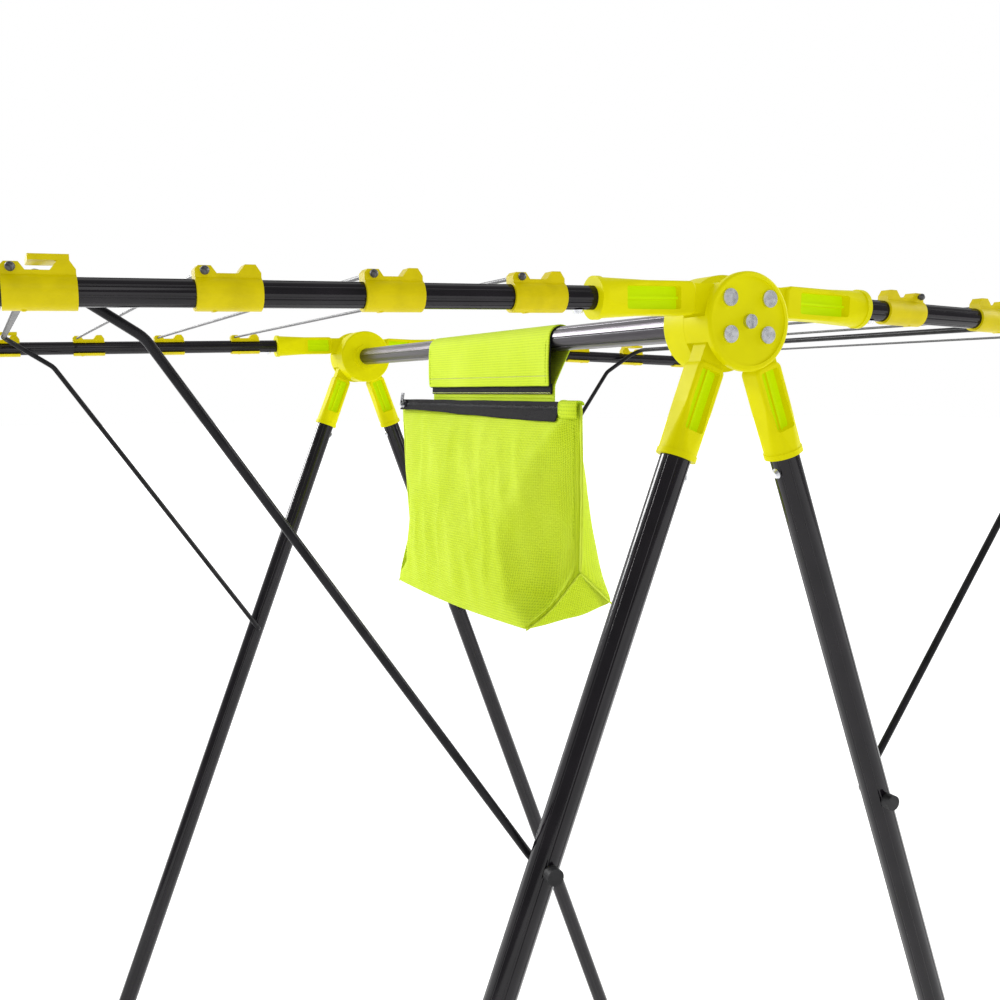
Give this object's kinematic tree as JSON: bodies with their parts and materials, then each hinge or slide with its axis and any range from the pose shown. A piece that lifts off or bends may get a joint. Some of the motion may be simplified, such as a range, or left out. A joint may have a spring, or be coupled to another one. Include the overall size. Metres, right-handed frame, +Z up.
{
  "type": "folding clothes airer",
  "caption": "Folding clothes airer: two end frames on a ridge tube, hinged wings strung with lines, wire bails that prop them, and a hanging zipped peg bag.",
  "frame": {"origin": "centre of the footprint on the floor, under the middle of the ridge tube", "axes": "+Z up, +Y along the ridge tube towards the far end frame, +X across the frames"},
  "size_m": [1.17, 0.8816, 1.2846],
  "materials": {
    "neon_plastic": "satin",
    "clip_plastic": "satin",
    "black_tube": "gloss",
    "ridge_tube": "satin",
    "foot_rubber": "matt",
    "black_plastic": "matt",
    "zinc_steel": "satin",
    "line_cord": "satin",
    "black_wire": "satin",
    "bag_fabric": "woven",
    "hook_and_loop": "napped",
    "zip_tape": "woven",
    "zip_metal": "satin"
  },
  "bodies": {
    "ridge": {"ridge_tube": "ridge_tube", "ridge_plugs": "black_plastic", "near_hub_inner_cover": "neon_plastic", "near_hub_outer_cover": "neon_plastic", "near_hub_pins": "zinc_steel", "near_hub_screw": "zinc_steel", "far_hub_inner_cover": "neon_plastic", "far_hub_outer_cover": "neon_plastic", "far_hub_pins": "zinc_steel", "far_hub_screw": "zinc_steel"},
    "left_legs": {"near_left_leg_tube": "black_tube", "near_left_leg_socket": "neon_plastic", "near_left_foot": "foot_rubber", "far_left_leg_tube": "black_tube", "far_left_leg_socket": "neon_plastic", "far_left_foot": "foot_rubber", "left_leg_screws": "zinc_steel"},
    "left_wing": {"near_left_arm_tube": "black_tube", "near_left_arm_socket": "neon_plastic", "near_left_arm_clips": "clip_plastic", "near_left_arm_cap": "black_plastic", "far_left_arm_tube": "black_tube", "far_left_arm_socket": "neon_plastic", "far_left_arm_clips": "clip_plastic", "far_left_arm_cap": "black_plastic", "left_arm_screws": "zinc_steel", "left_bail_rests": "clip_plastic", "left_lines": "line_cord"},
    "left_bail": {"left_bail": "black_wire", "left_bail_caps": "black_plastic"},
    "right_legs": {"near_right_leg_tube": "black_tube", "near_right_leg_socket": "neon_plastic", "near_right_foot": "foot_rubber", "far_right_leg_tube": "black_tube", "far_right_leg_socket": "neon_plastic", "far_right_foot": "foot_rubber", "right_leg_screws": "zinc_steel"},
    "right_wing": {"near_right_arm_tube": "black_tube", "near_right_arm_socket": "neon_plastic", "near_right_arm_clips": "clip_plastic", "near_right_arm_cap": "black_plastic", "far_right_arm_tube": "black_tube", "far_right_arm_socket": "neon_plastic", "far_right_arm_clips": "clip_plastic", "far_right_arm_cap": "black_plastic", "right_arm_screws": "zinc_steel", "right_bail_rests": "clip_plastic", "right_lines": "line_cord"},
    "right_bail": {"right_bail": "black_wire", "right_bail_caps": "black_plastic"},
    "bag": {"bag_body": "bag_fabric", "bag_strap": "bag_fabric", "hook_strip": "hook_and_loop", "loop_strip": "hook_and_loop", "zip_tape": "zip_tape", "zip_end_tab": "bag_fabric"},
    "zip_slider": {"zip_slider": "zip_metal"},
    "zip_pull": {"zip_pull": "zip_metal"}
  },
  "joints": [
    {"name": "left_leg_fold", "type": "hinge", "parent": "ridge", "child": "left_legs", "pos_m": [-0.016, 0, 1.241], "axis": [0, -1, 0], "range_deg": [0, 18]},
    {"name": "left_wing_fold", "type": "hinge", "parent": "ridge", "child": "left_wing", "pos_m": [-0.017, 0, 1.266], "axis": [0, 1, 0], "range_deg": [0, 80]},
    {"name": "left_bail_swing", "type": "hinge", "parent": "left_legs", "child": "left_bail", "pos_m": [-0.15118, 0, 0.87945], "axis": [0, -1, 0], "range_deg": [0, 115]},
    {"name": "right_leg_fold", "type": "hinge", "parent": "ridge", "child": "right_legs", "pos_m": [0.016, 0, 1.241], "axis": [0, 1, 0], "range_deg": [0, 18]},
    {"name": "right_wing_fold", "type": "hinge", "parent": "ridge", "child": "right_wing", "pos_m": [0.017, 0, 1.266], "axis": [0, -1, 0], "range_deg": [0, 80]},
    {"name": "right_bail_swing", "type": "hinge", "parent": "right_legs", "child": "right_bail", "pos_m": [0.15118, 0, 0.87945], "axis": [0, 1, 0], "range_deg": [0, 115]},
    {"name": "bag_swing", "type": "hinge", "parent": "ridge", "child": "bag", "pos_m": [0, 0, 1.25], "axis": [0, 1, 0], "range_deg": [-35, 35]},
    {"name": "zip_travel", "type": "slide", "parent": "bag", "child": "zip_slider", "axis": [0, -1, 0], "range_m": [0, 0.37]},
    {"name": "zip_pull_swing", "type": "hinge", "parent": "zip_slider", "child": "zip_pull", "pos_m": [-0.0176, 0, 1.1865], "axis": [0, -1, 0], "range_deg": [0, 165]}
  ]
}
